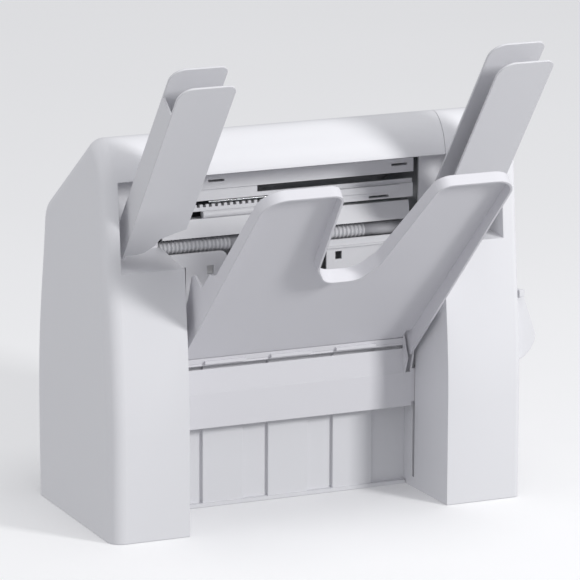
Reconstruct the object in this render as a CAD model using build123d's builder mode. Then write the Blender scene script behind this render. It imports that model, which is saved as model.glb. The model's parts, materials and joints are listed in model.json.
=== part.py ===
from build123d import *
import os
from math import atan2, cos, radians, sin

os.makedirs("parts", exist_ok=True)

# Frame: X to the right seen from the delivery side, -Y towards that side, Z up.
# The origin is the middle of the casing's footprint on the table.

# ---------------------------------------------------------------- driving sizes (mm)
HALF_W = 205.0            # half the casing's width
SEAM_X = 133.0            # where the right-hand moulding starts
FRONT_Y = -97.0           # pillar fronts at the foot
WALL = 3.0                # moulded wall
BAY_X = 129.3             # half width of the delivery bay at its front
BAY_X_IN = 126.0          # half width at its back
RECESS_X = 190.0          # half width of the upper recess
SHELF_Z = 246.5           # front edge of the wing shelves
LINTEL_Z = 329.0          # lower edge of the lintel
PANEL_Y = -10.0           # face of the bay's back panel
STRIP_Y = -13.0           # face of its three raised strips
MOUTH_Y = -20.0           # plane of the mouth's guides
SLOT_Y0, SLOT_Y1 = -30.9, -26.6   # lift slots in the bay walls

LIP_LEAN = radians(45.8)  # tray rim plane, measured from the vertical
LIP_ORIGIN = (0, -79.0, 174.0)
TRAY_HALF = 121.5
TRAY_TOP = 239.0          # up the rim plane from LIP_ORIGIN
HINGE_Y, HINGE_Z = -25.5, 137.0
FLOOR_Y, FLOOR_Z = -24.5, 146.0   # foot of the tray's floor
FLOOR_LEAN = radians(47.2)

WING_LEAN = radians(37.5)
WING_ORIGIN = (0, -62.0, 253.0)
WING_OUT = 181.0          # outer face of the web
WING_IN = 127.0           # free edge of the flanges
WING_DEPTH = 25.0
WING_TOP = 228.0            # up the wing plane from WING_ORIGIN
WEB_TOP = 194.0
WING_PIVOT_Y, WING_PIVOT_Z = -44.0, 268.0

NIP_Y, NIP_Z, NIP_R = -4.0, 247.5, 7.0       # ribbed delivery rollers
IDLER_R = 5.5
IDLER_Z = NIP_Z + NIP_R + 0.4 + IDLER_R
FEED_Y = 48.0                                # entry rollers
FRAME_X = 137.0                              # inner face of the side frames

# slope that carries the controls: two ends, direction and normal
SLOPE_A, SLOPE_B = (-28.0, 354.5), (64.0, 289.5)
SLOPE_ANGLE = atan2(SLOPE_A[1] - SLOPE_B[1], SLOPE_B[0] - SLOPE_A[0])

lip_plane = Plane(origin=LIP_ORIGIN, x_dir=(1, 0, 0), z_dir=(0, cos(LIP_LEAN), sin(LIP_LEAN)))
wing_plane = Plane(origin=WING_ORIGIN, x_dir=(1, 0, 0), z_dir=(0, cos(WING_LEAN), sin(WING_LEAN)))
slope_plane = Plane(origin=(0, SLOPE_A[0], SLOPE_A[1]), x_dir=(1, 0, 0),
                    z_dir=(0, sin(SLOPE_ANGLE), cos(SLOPE_ANGLE)))


# ---------------------------------------------------------------- helpers
def block(x0, x1, y0, y1, z0, z1, mode=Mode.ADD):
    """Upright block between the given limits."""
    with BuildSketch(Plane.XY.offset(z0)) as sk:
        with Locations(((x0 + x1) / 2, (y0 + y1) / 2)):
            Rectangle(x1 - x0, y1 - y0)
    extrude(sk.sketch, amount=z1 - z0, mode=mode)


def plate_on(plane, x0, x1, v0, v1, w0, w1, mode=Mode.ADD, radius=0.0):
    """Block on a tilted plane: x across, v along the plane's own y, w along its normal."""
    with BuildSketch(plane.offset(w0)) as sk:
        with Locations(((x0 + x1) / 2, (v0 + v1) / 2)):
            if radius:
                RectangleRounded(x1 - x0, v1 - v0, radius)
            else:
                Rectangle(x1 - x0, v1 - v0)
    extrude(sk.sketch, amount=w1 - w0, mode=mode)


def prism_x(points, x0, x1, mode=Mode.ADD):
    """Profile of (y, z) points run along X."""
    with BuildSketch(Plane.YZ.offset(x0)) as sk:
        with BuildLine():
            Polyline(*points, close=True)
        make_face()
    extrude(sk.sketch, amount=x1 - x0, mode=mode)


def prism_z(points, z0, z1, mode=Mode.ADD):
    """Profile of (x, y) points run along Z."""
    with BuildSketch(Plane.XY.offset(z0)) as sk:
        with BuildLine():
            Polyline(*points, close=True)
        make_face()
    extrude(sk.sketch, amount=z1 - z0, mode=mode)


def rod_x(y, z, radius, x0, x1, mode=Mode.ADD, bore=0.0):
    """Round bar or tube along X."""
    with BuildSketch(Plane.YZ.offset(x0)) as sk:
        with Locations((y, z)):
            Circle(radius)
            if bore:
                Circle(bore, mode=Mode.SUBTRACT)
    extrude(sk.sketch, amount=x1 - x0, mode=mode)


def rod_z(x, y, radius, z0, z1, mode=Mode.ADD):
    """Round bar along Z."""
    with BuildSketch(Plane.XY.offset(z0)) as sk:
        with Locations((x, y)):
            Circle(radius)
    extrude(sk.sketch, amount=z1 - z0, mode=mode)


SLOPE_DIR = (cos(SLOPE_ANGLE), -sin(SLOPE_ANGLE))
CURVES = (
    Spline((FRONT_Y, 100), (-93.5, 166), (-84.8, 246), (-77, LINTEL_Z), tangents=[(0, 1), (0.1, 1)]),
    Spline((-77, LINTEL_Z), (-72.5, 346), (-64, 358.5), (-51, 365), (-40, 362.6), SLOPE_A,
           tangents=[(0.1, 1), SLOPE_DIR]),
    Spline(SLOPE_B, (73.5, 278.5), (77.5, 262), tangents=[SLOPE_DIR, (0.13, -1)]),
    Spline((77.5, 262), (92.5, 167), (96.3, 80), (94.5, 0), tangents=[(0.13, -1), (-0.03, -1)]),
)


def inset_points(curve, inset, count=9):
    """Points along a curve, moved inset to its right-hand side."""
    points = []
    for i in range(count):
        at, way = curve @ (i / (count - 1)), curve % (i / (count - 1))
        points.append((at.X + inset * way.Y, at.Y - inset * way.X))
    return points


def casing_profile(x0, x1, inset, mode=Mode.ADD):
    """Side outline of the casing run along X, drawn smaller by inset and open below when inset."""
    front, brow, knee, back = [inset_points(c, inset) for c in CURVES]
    foot = 0 if not inset else -1
    with BuildSketch(Plane.YZ.offset(x0)) as sk:
        with BuildLine():
            Polyline((back[-1][0], foot), (front[0][0], foot), front[0])
            Spline(*front, tangents=[(0, 1), (0.1, 1)])
            Spline(*brow, tangents=[(0.1, 1), SLOPE_DIR])
            Line(brow[-1], knee[0])
            Spline(*knee, tangents=[SLOPE_DIR, (0.13, -1)])
            Spline(*back, tangents=[(0.13, -1), (-0.03, -1)])
            if inset:
                Line(back[-1], (back[-1][0], foot))
        make_face()
    extrude(sk.sketch, amount=x1 - x0, mode=mode)


def round_side(x, radius):
    """Round the casing's side face at x, all but its foot."""
    side = [e for e in edges() if abs(e.center().X - x) < 0.01 and e.center().Z > 0.5]
    fillet(side, radius)


def skin(x0, x1, left_r, right_r):
    """Casing skin between x0 and x1; a radius marks a closed side, zero an open one."""
    with BuildPart() as outer:
        casing_profile(x0, x1, 0)
        if left_r:
            round_side(x0, left_r)
        if right_r:
            round_side(x1, right_r)
    with BuildPart() as inner:
        i0, i1 = (x0 + WALL if left_r else x0 - 1), (x1 - WALL if right_r else x1 + 1)
        casing_profile(i0, i1, WALL)
        if left_r:
            round_side(i0, left_r - WALL)
        if right_r:
            round_side(i1, right_r - WALL)
    return outer.part, inner.part


def pillar_walls(side, outer):
    """Walls that line the bay, the shelf and the recess on one side (-1 left, 1 right)."""
    with BuildPart() as walls:
        bay = [(side * BAY_X, FRONT_Y), (side * BAY_X_IN, PANEL_Y), (side * (BAY_X_IN + WALL), PANEL_Y),
               (side * (BAY_X + WALL), FRONT_Y)]
        prism_z(bay, 0, SHELF_Z + 1)
        ledge = sorted((side * BAY_X_IN, side * (RECESS_X + WALL)))
        prism_x([(-90, SHELF_Z), (MOUTH_Y, SHELF_Z + 6), (MOUTH_Y, SHELF_Z + 3.5), (-90, SHELF_Z - 2.5)],
                ledge[0], ledge[1])
        peg = sorted((side * 127.5, side * 138))
        rod_x(-28.5, 185, 2, peg[0], peg[1])
        cheek = sorted((side * RECESS_X, side * (RECESS_X + WALL)))
        block(cheek[0], cheek[1], -90, MOUTH_Y + 2.5, SHELF_Z - 2, LINTEL_Z + 2.5)
        back = sorted((side * 128.5, side * (RECESS_X + WALL)))
        block(back[0], back[1], MOUTH_Y, MOUTH_Y + 2.5, SHELF_Z + 2, LINTEL_Z + 2.5)
        add(outer, mode=Mode.INTERSECT)
    return walls.part


def front_openings():
    """Bay, recess and lift slots, cut through the casing's front."""
    prism_z([(-BAY_X, FRONT_Y - 3), (-BAY_X, FRONT_Y), (-BAY_X_IN, PANEL_Y), (BAY_X_IN, PANEL_Y),
             (BAY_X, FRONT_Y), (BAY_X, FRONT_Y - 3)], -1, SHELF_Z + 30, Mode.SUBTRACT)
    prism_x([(-100, SHELF_Z - 0.93), (MOUTH_Y, SHELF_Z + 6), (MOUTH_Y, LINTEL_Z), (-100, LINTEL_Z)],
            -RECESS_X, RECESS_X, Mode.SUBTRACT)
    for x0, x1 in ((-131, -124), (124, 131)):
        block(x0, x1, SLOT_Y0, SLOT_Y1, 10, 126, Mode.SUBTRACT)
    rod_x(WING_PIVOT_Y, WING_PIVOT_Z, 3, -195, 195, Mode.SUBTRACT)


def back_openings():
    """Window for the rear cover, letter entry, and the openings in the slope."""
    block(-192, 192, 60, 110, 12, 232, Mode.SUBTRACT)
    block(-122, 122, 60, 110, 250.5, 260, Mode.SUBTRACT)
    plate_on(slope_plane, -46, 124, 18, 96, -8, 4, Mode.SUBTRACT, radius=4)
    plate_on(slope_plane, -152, -56, 16, 98, -8, 4, Mode.SUBTRACT, radius=3)


# ---------------------------------------------------------------- casing
main_outer, main_inner = skin(-HALF_W, SEAM_X, 13.5, 0)
with BuildPart() as main_casing:
    add(main_outer)
    add(main_inner, mode=Mode.SUBTRACT)
    block(-HALF_W + 8, SEAM_X, -90, MOUTH_Y, LINTEL_Z, LINTEL_Z + 2.5)
    add(main_outer, mode=Mode.INTERSECT)
    add(pillar_walls(-1, main_outer))
    front_openings()
    back_openings()
    block(BAY_X - 5, SEAM_X + 1, -110, PANEL_Y + 2, -1, SHELF_Z + 7, Mode.SUBTRACT)
main_casing.part.label = "main_casing"
export_step(main_casing.part, "parts/main_casing.step")

right_outer, right_inner = skin(BAY_X_IN, HALF_W, 0, 6)
with BuildPart() as right_casing:
    add(right_outer)
    add(right_inner, mode=Mode.SUBTRACT)
    block(BAY_X, HALF_W - 8, -90, MOUTH_Y, LINTEL_Z, LINTEL_Z + 2.5)
    add(right_outer, mode=Mode.INTERSECT)
    add(pillar_walls(1, right_outer))
    front_openings()
    back_openings()
    block(BAY_X - 5, SEAM_X + 0.4, MOUTH_Y - 100, 110, SHELF_Z + 6.1, 380, Mode.SUBTRACT)
    block(BAY_X - 5, SEAM_X + 0.4, PANEL_Y + 0.01, 110, -1, 380, Mode.SUBTRACT)
right_casing.part.label = "right_casing"
export_step(right_casing.part, "parts/right_casing.step")

with BuildPart() as rear_cover:
    casing_profile(-191.5, 191.5, 0)
    casing_profile(-195, 195, WALL, Mode.SUBTRACT)
    with BuildSketch(Plane.YZ.offset(-195)) as window:
        with Locations((85, 122)):
            Rectangle(50, 219)
    extrude(window.sketch, amount=390, mode=Mode.INTERSECT)
    block(138.5, 169.5, 80, 110, 30.5, 53.5, Mode.SUBTRACT)
    block(97.5, 123.5, 80, 110, 31.5, 51.5, Mode.SUBTRACT)
    for x in (-180, 180):
        for z in (22, 222):
            with BuildSketch(Plane.XZ.offset(-110)) as hole:
                with Locations((x, z)):
                    Circle(1.6)
            extrude(hole.sketch, amount=50, mode=Mode.SUBTRACT)
rear_cover.part.label = "rear_cover"
export_step(rear_cover.part, "parts/rear_cover.step")

with BuildPart() as cover_screws:
    for x in (-180, 180):
        for z, y in ((22, 95.6), (222, 84.6)):
            with BuildSketch(Plane.XZ.offset(-(y + 2.6))) as head:
                with Locations((x, z)):
                    Circle(3.2)
            extrude(head.sketch, amount=1.8)
            with BuildSketch(Plane.XZ.offset(-(y + 0.9))) as shank:
                with Locations((x, z)):
                    Circle(1.5)
            extrude(shank.sketch, amount=8)
cover_screws.part.label = "cover_screws"
export_step(cover_screws.part, "parts/cover_screws.step")

FEET = ((-172, -78), (172, -78), (-172, 70), (172, 70))
with BuildPart() as base_plate:
    prism_z([(-192, 90.4), (196, 90.4), (201.4, 85), (201.4, -88), (196, -93.4), (-192, -93.4), (-201.4, -84),
             (-201.4, 81)], 0, 2)
    block(-133, 133, -100, -6.6, -1, 10, Mode.SUBTRACT)
    for x in (-201.4, 199.4):
        block(x, x + 2, -70, 76, 2, 9)
    for x, y in FEET:
        rod_z(x, y, 10, -1, 3, Mode.SUBTRACT)
base_plate.part.label = "base_plate"
export_step(base_plate.part, "parts/base_plate.step")

with BuildPart() as feet:
    for x, y in FEET:
        rod_z(x, y, 10, 0, 2)
        rod_z(x, y, 12, 2, 3.5)
feet.part.label = "feet"
export_step(feet.part, "parts/feet.step")

# ---------------------------------------------------------------- delivery bay
STRIPS = (-61.4, 4.6, 70.6)
STRIP_HALF = 20
LIPS = (-66, 0, 66)


def panel_path(dx, y_base, y_strip):
    """Left-to-right line over the three raised strips, narrowed by dx on each strip."""
    line = [(-128.5, y_base)]
    for c in STRIPS:
        line += [(c - STRIP_HALF + dx, y_base), (c - STRIP_HALF + dx, y_strip),
                 (c + STRIP_HALF - dx, y_strip), (c + STRIP_HALF - dx, y_base)]
    return line + [(128.5, y_base)]


with BuildPart() as bay_back_panel:
    face_line = panel_path(0, PANEL_Y + 0.1, STRIP_Y)
    back_line = panel_path(2.4, PANEL_Y + 2.6, STRIP_Y + 2.4)
    prism_z(face_line + back_line[::-1], 0, 196)
    block(-125.4, 125.4, STRIP_Y - 1.5, PANEL_Y + 2, 0, 3.5)
bay_back_panel.part.label = "bay_back_panel"
export_step(bay_back_panel.part, "parts/bay_back_panel.step")

with BuildPart() as lower_guide_left:
    with BuildSketch(Plane.XZ.offset(13.5)) as sk:
        with BuildLine():
            Polyline((-125, 196.5), (-58, 196.5), (-58, 243), (-125, 243), close=True)
        make_face()
        fillet([v for v in vertices() if v.X > -60 and v.Y > 240], 7)
        with Locations((-101.5, 213)):
            Rectangle(5, 34, mode=Mode.SUBTRACT)
        with Locations((-74.8, 226)):
            Rectangle(6.5, 8, mode=Mode.SUBTRACT)
    extrude(sk.sketch, amount=2)
    block(-125, -58, -13.6, -8, 196.5, 198.5)
lower_guide_left.part.label = "lower_guide_left"
export_step(lower_guide_left.part, "parts/lower_guide_left.step")

with BuildPart() as lower_guide_right:
    with BuildSketch(Plane.XZ.offset(13.5)) as sk:
        with BuildLine():
            Polyline((42, 196.5), (125, 196.5), (125, 243), (42, 243), close=True)
        make_face()
        with Locations((54.2, 228)):
            Rectangle(6.5, 7.5, mode=Mode.SUBTRACT)
        with Locations((104, 213)):
            Rectangle(5, 34, mode=Mode.SUBTRACT)
    extrude(sk.sketch, amount=2)
    block(42, 125, -17.6, -13.6, 235, 237)
    block(42, 125, -13.6, -8, 196.5, 198.5)
lower_guide_right.part.label = "lower_guide_right"
export_step(lower_guide_right.part, "parts/lower_guide_right.step")

# ---------------------------------------------------------------- tray carriage
with BuildPart() as tray_carriage:
    block(-123.8, 123.8, -30, -27.5, 80, 113)
    prism_x([(-30, 112), (-27.5, 112), (-24.6, 142.5), (-27, 142.5)], -115, 115)
    for c in LIPS:
        block(c - 20, c + 20.5, -30.4, -26.4, 140.5, 143.6)
    prism_x([(-27.6, 141), (-29, 146.3), (-27.4, 144.85), (-27, 142.5), (-27, 141)], -115, 115)
    for side in (-1, 1):
        cheek = sorted((side * 121.9, side * 123.8))
        prism_x([(-30, 80), (-30, 116), (-34.5, 130), (-34.5, 140), (-30, 146.5), (-21, 146.5), (-16.8, 141),
                 (-16.8, 132), (-21, 126), (-27.5, 112), (-27.5, 80)], cheek[0], cheek[1])
        ear = sorted((side * 115, side * 117))
        prism_x([(-30, 111), (-36.5, 128), (-27, 150), (-20.5, 146), (-20.5, 130), (-27.5, 111)], ear[0], ear[1])
        tongue = sorted((side * 123.6, side * 137))
        block(tongue[0], tongue[1], -30, -27.5, 84, 116)
    rod_x(HINGE_Y, HINGE_Z, 2.5, -130, 130, Mode.SUBTRACT)
tray_carriage.part.label = "tray_carriage"
export_step(tray_carriage.part, "parts/tray_carriage.step")

with BuildPart() as tray_pivot_pins:
    rod_x(HINGE_Y, HINGE_Z, 2.5, 115, 123.8)
    rod_x(HINGE_Y, HINGE_Z, 2.5, -123.8, -115)
tray_pivot_pins.part.label = "tray_pivot_pins"
export_step(tray_pivot_pins.part, "parts/tray_pivot_pins.step")

with BuildPart() as carriage_springs:
    for x in (-134.2, 134.2):
        with BuildLine() as coil:
            Helix(pitch=2.6, height=62, radius=3.1, center=(x, -28.5, 118))
        with BuildSketch(Plane(origin=coil.line @ 0, z_dir=coil.line % 0)) as wire:
            Circle(0.7)
        sweep(wire.sketch, path=coil.line)
carriage_springs.part.label = "carriage_springs"
export_step(carriage_springs.part, "parts/carriage_springs.step")

# ---------------------------------------------------------------- delivery tray


def tray_outline(inset):
    """Plan of the pan on the rim plane (local y runs down the tray)."""
    half, top = TRAY_HALF - inset, -TRAY_TOP + inset
    with BuildSketch(lip_plane) as sk:
        with BuildLine():
            Polyline((-half, 90), (-half, top), (-46 - inset, top), (-30 - inset, -112), (-17, -88 + inset),
                     (17, -88 + inset), (30 + inset, -112), (46 + inset, top), (half, top), (half, 90), close=True)
        make_face()
        fillet([v for v in vertices() if v.Y < -230 and abs(v.X) > 100], 22 - inset)
        fillet([v for v in vertices() if v.Y < -230 and abs(v.X) < 60], 14 - inset)
        fillet([v for v in vertices() if -116 < v.Y < -80], 17 + inset)
    return sk.sketch


def floor_point(u, w):
    """(y, z) at u up the floor and w behind it."""
    return (FLOOR_Y - u * sin(FLOOR_LEAN) + w * cos(FLOOR_LEAN), FLOOR_Z + u * cos(FLOOR_LEAN) + w * sin(FLOOR_LEAN))


with BuildPart() as pan_body:
    extrude(tray_outline(0), amount=45)
with BuildPart() as pan_room:
    extrude(tray_outline(2.2), amount=45)
def lip_point(t):
    """(y, z) at t up the rim plane."""
    return (LIP_ORIGIN[1] - t * sin(LIP_LEAN), LIP_ORIGIN[2] + t * cos(LIP_LEAN))


with BuildPart() as tray_floor:
    add(pan_body.part)
    prism_x([floor_point(0, 0), floor_point(340, 0), floor_point(340, -2.4), floor_point(0, -2.4)],
            -130, 130, Mode.INTERSECT)
    for x0, x1 in ((-120, -114), (114, 120)):
        prism_x([floor_point(-4, 5), floor_point(16, 5), floor_point(16, -8), floor_point(-4, -8)], x0, x1,
                Mode.SUBTRACT)

# side flange: rim line, round the pivot, then the stack-side ears
flange = [lip_point(200), lip_point(-62), (-29.5, 129.8), (-25.5, 129), (-20, 131.3), (-17.6, 137),
          (-18.6, 142), floor_point(8, 8), floor_point(60, 8), floor_point(86, 18), floor_point(106, 28),
          floor_point(112, 26), floor_point(118, 8), floor_point(143, 8), floor_point(150, 3),
          floor_point(156, 0), floor_point(262, 0)]

with BuildPart() as delivery_tray:
    add(pan_body.part)
    add(pan_room.part, mode=Mode.SUBTRACT)
    prism_x([floor_point(-60, 0), floor_point(340, 0), floor_point(340, 80), floor_point(-60, 80)],
            -130, 130, Mode.SUBTRACT)
    block(-130, 130, -120, 20, 60, 168, Mode.SUBTRACT)
    add(tray_floor.part)
    prism_x(flange, TRAY_HALF - 2.2, TRAY_HALF)
    prism_x(flange, -TRAY_HALF, -TRAY_HALF + 2.2)
    rod_x(HINGE_Y, HINGE_Z, 2.56, -130, 130, Mode.SUBTRACT)
delivery_tray.part.label = "delivery_tray"
export_step(delivery_tray.part, "parts/delivery_tray.step")

# ---------------------------------------------------------------- side wings


def wing(side):
    """U-channel that holds the ends of the letters; side is -1 left, 1 right."""
    outline = [(WING_OUT, 8), (WING_OUT, WING_TOP), (WING_IN, WING_TOP), (WING_IN, 38), (139, 33), (150, 27),
               (153, 19), (161, 10), (168, 8)]
    with BuildPart() as channel:
        for w0 in (0, WING_DEPTH - 2):
            with BuildSketch(wing_plane.offset(w0)) as flange_sk:
                with BuildLine():
                    Polyline(*[(side * x, -s) for x, s in outline], close=True)
                make_face()
                fillet([v for v in vertices() if v.Y < -215 and abs(v.X) > 170], 14 if side < 0 else 8)
                fillet([v for v in vertices() if v.Y < -215 and abs(v.X) < 130], 8 if side < 0 else 16)
            extrude(flange_sk.sketch, amount=2)
        web = sorted((side * (WING_OUT - 2), side * WING_OUT))
        plate_on(wing_plane, web[0], web[1], -WEB_TOP, -3, 0, WING_DEPTH)
        with BuildSketch(Plane.YZ.offset(web[0])) as boss:
            with Locations((WING_PIVOT_Y, WING_PIVOT_Z)):
                Circle(8)
        extrude(boss.sketch, amount=2)
        rod_x(WING_PIVOT_Y, WING_PIVOT_Z, 3.06, web[0] - 4, web[1] + 4, Mode.SUBTRACT)
    return channel.part


left_wing = wing(-1)
left_wing.label = "left_wing"
export_step(left_wing, "parts/left_wing.step")
right_wing = wing(1)
right_wing.label = "right_wing"
export_step(right_wing, "parts/right_wing.step")

with BuildPart() as wing_pivot_pins:
    for side in (-1, 1):
        for radius, a, b in ((6, RECESS_X, WING_OUT + 0.4), (3, RECESS_X + WALL, WING_OUT - 4.4),
                             (5, WING_OUT - 2.4, WING_OUT - 4.4)):
            ends = sorted((side * a, side * b))
            rod_x(WING_PIVOT_Y, WING_PIVOT_Z, radius, ends[0], ends[1])
wing_pivot_pins.part.label = "wing_pivot_pins"
export_step(wing_pivot_pins.part, "parts/wing_pivot_pins.step")

# ---------------------------------------------------------------- mouth
with BuildPart() as upper_guide:
    block(-126.5, 126.5, MOUTH_Y, MOUTH_Y + 2.5, 292, 329)
    block(-126.5, 126.5, MOUTH_Y, -12, 326.5, 329)
    block(-126.5, 126.5, MOUTH_Y - 3, MOUTH_Y, 303, 316)
    block(38, 126.5, MOUTH_Y - 2, MOUTH_Y + 2.5, 279, 292.1)
    block(38, 112, MOUTH_Y - 4.5, MOUTH_Y, 286, 292)
    block(-30, 126.6, -30, -10, 296, 302.5, Mode.SUBTRACT)
    for x in (-72, 112):
        block(x - 8, x + 8, -30, -10, 309.5, 311.8, Mode.SUBTRACT)
    block(82, 102, -30, -10, 280.5, 282.8, Mode.SUBTRACT)
    for x in (-42, 92):
        with BuildSketch(Plane.XZ.offset(20.8)) as mark:
            with BuildLine():
                Polyline((x - 6, 325), (x + 6, 325), (x, 318.5), close=True)
            make_face()
        extrude(mark.sketch, amount=-1)
upper_guide.part.label = "upper_guide"
export_step(upper_guide.part, "parts/upper_guide.step")

with BuildPart() as comb_bar:
    block(-94, 37, -20, -12, 282.5, 286)
    for i in range(22):
        block(-93 + i * 6, -90 + i * 6, -20, -17.5, 285.9, 288.5)
comb_bar.part.label = "comb_bar"
export_step(comb_bar.part, "parts/comb_bar.step")

with BuildPart() as guide_rail:
    rod_x(-18, 279, 3.5, -84, 37)
guide_rail.part.label = "guide_rail"
export_step(guide_rail.part, "parts/guide_rail.step")

with BuildPart() as exit_apron:
    prism_x([(-21.5, 258.5), (-19.5, 258.5), (-15.5, 273), (-8, 273), (-8, 275), (-17, 275)], -124.5, 124.5)
exit_apron.part.label = "exit_apron"
export_step(exit_apron.part, "parts/exit_apron.step")

# ---------------------------------------------------------------- letter transport
FRAME = [(-16, 6), (72, 6), (72, 250), (66, 276), (30, 302), (-2, 322), (-16, 322)]
BARS = ((66, 40), (66, 180), (58, 272))
MOTOR_Y, MOTOR_Z, MOTOR_R = 22.0, 206.0, 17.0
SHAFTS = ((NIP_Y, NIP_Z), (FEED_Y, NIP_Z))
frames = {}
for name, x0 in (("side_frame_left", -FRAME_X - 2), ("side_frame_right", FRAME_X)):
    with BuildPart() as frame:
        prism_x(FRAME, x0, x0 + 2)
        prism_x([(4, 30), (54, 30), (54, 150), (4, 150)], x0, x0 + 2, Mode.SUBTRACT)
        for y, z in SHAFTS:
            rod_x(y, z, 6, x0 - 1, x0 + 3, Mode.SUBTRACT)
        for y, z in ((NIP_Y, IDLER_Z), (FEED_Y, IDLER_Z + 0.5)):
            rod_x(y, z, 2, x0 - 1, x0 + 3, Mode.SUBTRACT)
        for y, z in BARS:
            rod_x(y, z, 3, x0 - 1, x0 + 3, Mode.SUBTRACT)
        if x0 > 0:
            rod_x(MOTOR_Y, MOTOR_Z, 7, x0 - 1, x0 + 3, Mode.SUBTRACT)
        foot = sorted((x0 + 1, x0 + (-12 if x0 > 0 else 14)))
        block(foot[0], foot[1], -5, 70, 2, 6.5)
    frames[name] = frame
    frame.part.label = name
    export_step(frame.part, f"parts/{name}.step")

with BuildPart() as tie_bars:
    for y, z in BARS:
        rod_x(y, z, 3, -FRAME_X - 4, FRAME_X + 4)
tie_bars.part.label = "tie_bars"
export_step(tie_bars.part, "parts/tie_bars.step")

with BuildPart() as shaft_bearings:
    for y, z in SHAFTS:
        for x in (-FRAME_X - 3, FRAME_X - 1):
            rod_x(y, z, 6, x, x + 4, bore=4.05)
shaft_bearings.part.label = "shaft_bearings"
export_step(shaft_bearings.part, "parts/shaft_bearings.step")

with BuildPart() as delivery_shaft:
    rod_x(NIP_Y, NIP_Z, 4, -143, 150)
    rod_x(NIP_Y, NIP_Z, 6, 84.6, 124)
delivery_shaft.part.label = "delivery_shaft"
export_step(delivery_shaft.part, "parts/delivery_shaft.step")

with BuildPart() as ribbed_rollers:
    for x0, x1 in ((-124, -52), (-12, 84)):
        rod_x(NIP_Y, NIP_Z, 5.8, x0, x1, bore=4)
        for i in range(int((x1 - x0) / 4)):
            rod_x(NIP_Y, NIP_Z, NIP_R, x0 + 4 * i + 0.6, x0 + 4 * i + 2.6, bore=5)
ribbed_rollers.part.label = "ribbed_rollers"
export_step(ribbed_rollers.part, "parts/ribbed_rollers.step")

with BuildPart() as feed_shaft:
    rod_x(FEED_Y, NIP_Z, 4, -143, 150)
feed_shaft.part.label = "feed_shaft"
export_step(feed_shaft.part, "parts/feed_shaft.step")

ROLLER_XS = (-92, 0, 92)
with BuildPart() as feed_rollers:
    for x in ROLLER_XS:
        rod_x(FEED_Y, NIP_Z, 7.5, x - 10, x + 10, bore=4)
feed_rollers.part.label = "feed_rollers"
export_step(feed_rollers.part, "parts/feed_rollers.step")

IDLER_XS = (-92, 36)
with BuildPart() as idler_shafts:
    rod_x(NIP_Y, IDLER_Z, 2, -FRAME_X - 3, FRAME_X + 3)
    rod_x(FEED_Y, IDLER_Z + 0.5, 2, -FRAME_X - 3, FRAME_X + 3)
idler_shafts.part.label = "idler_shafts"
export_step(idler_shafts.part, "parts/idler_shafts.step")

with BuildPart() as delivery_idlers:
    for x in IDLER_XS:
        rod_x(NIP_Y, IDLER_Z, IDLER_R, x - 12, x + 12, bore=2.06)
delivery_idlers.part.label = "delivery_idlers"
export_step(delivery_idlers.part, "parts/delivery_idlers.step")

with BuildPart() as feed_idlers:
    for x in ROLLER_XS:
        rod_x(FEED_Y, IDLER_Z + 0.5, IDLER_R, x - 8, x + 8, bore=2.06)
feed_idlers.part.label = "feed_idlers"
export_step(feed_idlers.part, "parts/feed_idlers.step")

with BuildPart() as feed_deck:
    block(-134, 134, 6, 74, 252, 253.6)
    for x in ROLLER_XS:
        block(x - 11, x + 11, FEED_Y - 9, FEED_Y + 9, 240, 260, Mode.SUBTRACT)
    for x in (-134, 132):
        block(x, x + 2, 12, 38, 240, 252)
    for x0, x1 in ((-137, -134), (134, 137)):
        block(x0, x1, 14, 34, 249, 253.6)
feed_deck.part.label = "feed_deck"
export_step(feed_deck.part, "parts/feed_deck.step")

PULLEY_R, MOTOR_PULLEY_R, BELT_GAP, BELT_T = 9.0, 6.0, 0.35, 1.5
with BuildPart() as delivery_pulley:
    rod_x(NIP_Y, NIP_Z, PULLEY_R, 142, 149, bore=4)
delivery_pulley.part.label = "delivery_pulley"
export_step(delivery_pulley.part, "parts/delivery_pulley.step")

with BuildPart() as feed_pulley:
    rod_x(FEED_Y, NIP_Z, PULLEY_R, 142, 149, bore=4)
feed_pulley.part.label = "feed_pulley"
export_step(feed_pulley.part, "parts/feed_pulley.step")

with BuildPart() as motor_pulley:
    rod_x(MOTOR_Y, MOTOR_Z, MOTOR_PULLEY_R, 142, 149)
    rod_x(MOTOR_Y, MOTOR_Z, 2.5, 128, 142)
motor_pulley.part.label = "motor_pulley"
export_step(motor_pulley.part, "parts/motor_pulley.step")


def belt_hull(extra):
    """Area inside a belt that runs extra outside the three pulleys."""
    with BuildSketch(Plane.YZ.offset(143)) as sk:
        with BuildSketch(mode=Mode.PRIVATE) as rounds:
            for (y, z), r in zip(SHAFTS + ((MOTOR_Y, MOTOR_Z),), (PULLEY_R, PULLEY_R, MOTOR_PULLEY_R)):
                with Locations((y, z)):
                    Circle(r + extra)
        make_hull(rounds.edges())
    return sk.sketch


with BuildPart() as drive_belt:
    extrude(belt_hull(BELT_GAP + BELT_T), amount=5)
    extrude(belt_hull(BELT_GAP), amount=5, mode=Mode.SUBTRACT)
drive_belt.part.label = "drive_belt"
export_step(drive_belt.part, "parts/drive_belt.step")

with BuildPart() as drive_motor:
    rod_x(MOTOR_Y, MOTOR_Z, MOTOR_R, 98, 134)
    block(134, 137, MOTOR_Y - 20, MOTOR_Y + 20, MOTOR_Z - 20, MOTOR_Z + 20)
    rod_x(MOTOR_Y, MOTOR_Z, 2.55, 127, 138, Mode.SUBTRACT)
drive_motor.part.label = "drive_motor"
export_step(drive_motor.part, "parts/drive_motor.step")

# ---------------------------------------------------------------- print unit
with BuildPart() as print_carrier:
    block(-134, -66, 8, 36, 262, 302)
    block(-131.5, -68.5, 10.5, 33.5, 264.5, 303, Mode.SUBTRACT)
    block(-110, -90, 16, 28, 259.5, 262)
    block(-137, -134, 12, 32, 280, 300)
print_carrier.part.label = "print_carrier"
export_step(print_carrier.part, "parts/print_carrier.step")

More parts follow.
